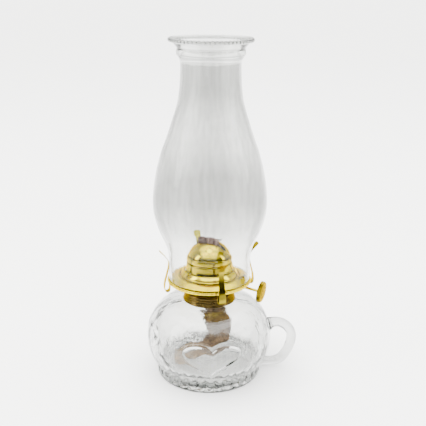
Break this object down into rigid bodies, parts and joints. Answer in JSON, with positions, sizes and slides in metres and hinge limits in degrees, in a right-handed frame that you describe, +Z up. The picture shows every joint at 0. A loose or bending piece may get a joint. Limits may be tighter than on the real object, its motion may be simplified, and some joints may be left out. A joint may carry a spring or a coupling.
{
  "type": "oil lamp",
  "caption": "Clear glass finger lamp: pressed font with loop handle and hearts, screw-in brass flat-wick burner with spring prongs, bulged glass chimney.",
  "frame": {"origin": "lamp axis at the underside of the glass foot", "axes": "+Z up along the lamp's axis, +X towards the finger loop, -Y towards the front heart"},
  "size_m": [0.1443, 0.1188, 0.3167],
  "materials": {
    "glass": "clear pressed glass",
    "chimney_glass": "clear thin blown glass",
    "brass": "bright polished pressed sheet",
    "spring_brass": "polished spring strip",
    "collar_brass": "polished, darker",
    "plaster": "matt cement",
    "cotton": "woven cotton, oil-stained"
  },
  "bodies": {
    "font": {"glass_font": "glass", "finger_handle": "glass", "font_collar": "collar_brass", "collar_plaster": "plaster"},
    "thread_ring": {"burner_ring": "brass"},
    "burner": {"burner_bowl": "brass", "wick_tube": "brass", "air_screen": "brass", "wick_tensioner": "brass", "wheel_housing": "brass", "shaft_sleeve": "brass", "wick_tail": "cotton"},
    "raiser": {"raiser_shaft": "brass", "thumb_wheel": "brass", "star_wheel_1": "brass", "star_wheel_2": "brass", "star_wheel_3": "brass"},
    "wick": {"wick": "cotton"},
    "gallery": {"gallery_plate": "brass", "dome": "brass"},
    "prong_1": {"prong_1": "spring_brass"},
    "prong_2": {"prong_2": "spring_brass"},
    "prong_3": {"prong_3": "spring_brass"},
    "prong_4": {"prong_4": "spring_brass"},
    "chimney": {"chimney": "chimney_glass"}
  },
  "joints": [
    {"name": "burner_rise", "type": "slide", "parent": "font", "child": "thread_ring", "axis": [0, 0, 1], "range_m": [0, 0.0046]},
    {"name": "burner_turn", "type": "hinge", "parent": "thread_ring", "child": "burner", "pos_m": [0, 0, 0.08], "axis": [0, 0, 1], "range_deg": [0, 900]},
    {"name": "knob_spin", "type": "hinge", "parent": "burner", "child": "raiser", "pos_m": [0.00212, 0.00475, 0.0926], "axis": [0.9077, -0.4041, -0.1132], "range_deg": [-114, 143]},
    {"name": "wick_raise", "type": "slide", "parent": "burner", "child": "wick", "axis": [0, 0, 1], "range_m": [-0.01, 0.008], "deforming": ["wick_tail"]},
    {"name": "gallery_lift", "type": "slide", "parent": "burner", "child": "gallery", "axis": [0, 0, 1], "range_m": [0, 0.06]},
    {"name": "prong_1_flex", "type": "hinge", "parent": "gallery", "child": "prong_1", "pos_m": [0.00927, -0.03716, 0.0925], "axis": [0.9703, 0.2419, 0], "range_deg": [0, 8], "stiffness_Nm_per_rad": 0.15},
    {"name": "prong_2_flex", "type": "hinge", "parent": "gallery", "child": "prong_2", "pos_m": [0.03716, 0.00927, 0.0925], "axis": [-0.2419, 0.9703, 0], "range_deg": [0, 8], "stiffness_Nm_per_rad": 0.15},
    {"name": "prong_3_flex", "type": "hinge", "parent": "gallery", "child": "prong_3", "pos_m": [-0.00927, 0.03716, 0.0925], "axis": [-0.9703, -0.2419, 0], "range_deg": [0, 8], "stiffness_Nm_per_rad": 0.15},
    {"name": "prong_4_flex", "type": "hinge", "parent": "gallery", "child": "prong_4", "pos_m": [-0.03716, -0.00927, 0.0925], "axis": [0.2419, -0.9703, 0], "range_deg": [0, 8], "stiffness_Nm_per_rad": 0.15},
    {"name": "chimney_lift", "type": "slide", "parent": "gallery", "child": "chimney", "axis": [0, 0, 1], "range_m": [0, 0.05]}
  ],
  "couplings": [
    {"joint": "burner_rise", "follows": "burner_turn", "m_per_rad": 0.00028873},
    {"joint": "wick_raise", "follows": "knob_spin", "m_per_rad": -0.004}
  ]
}
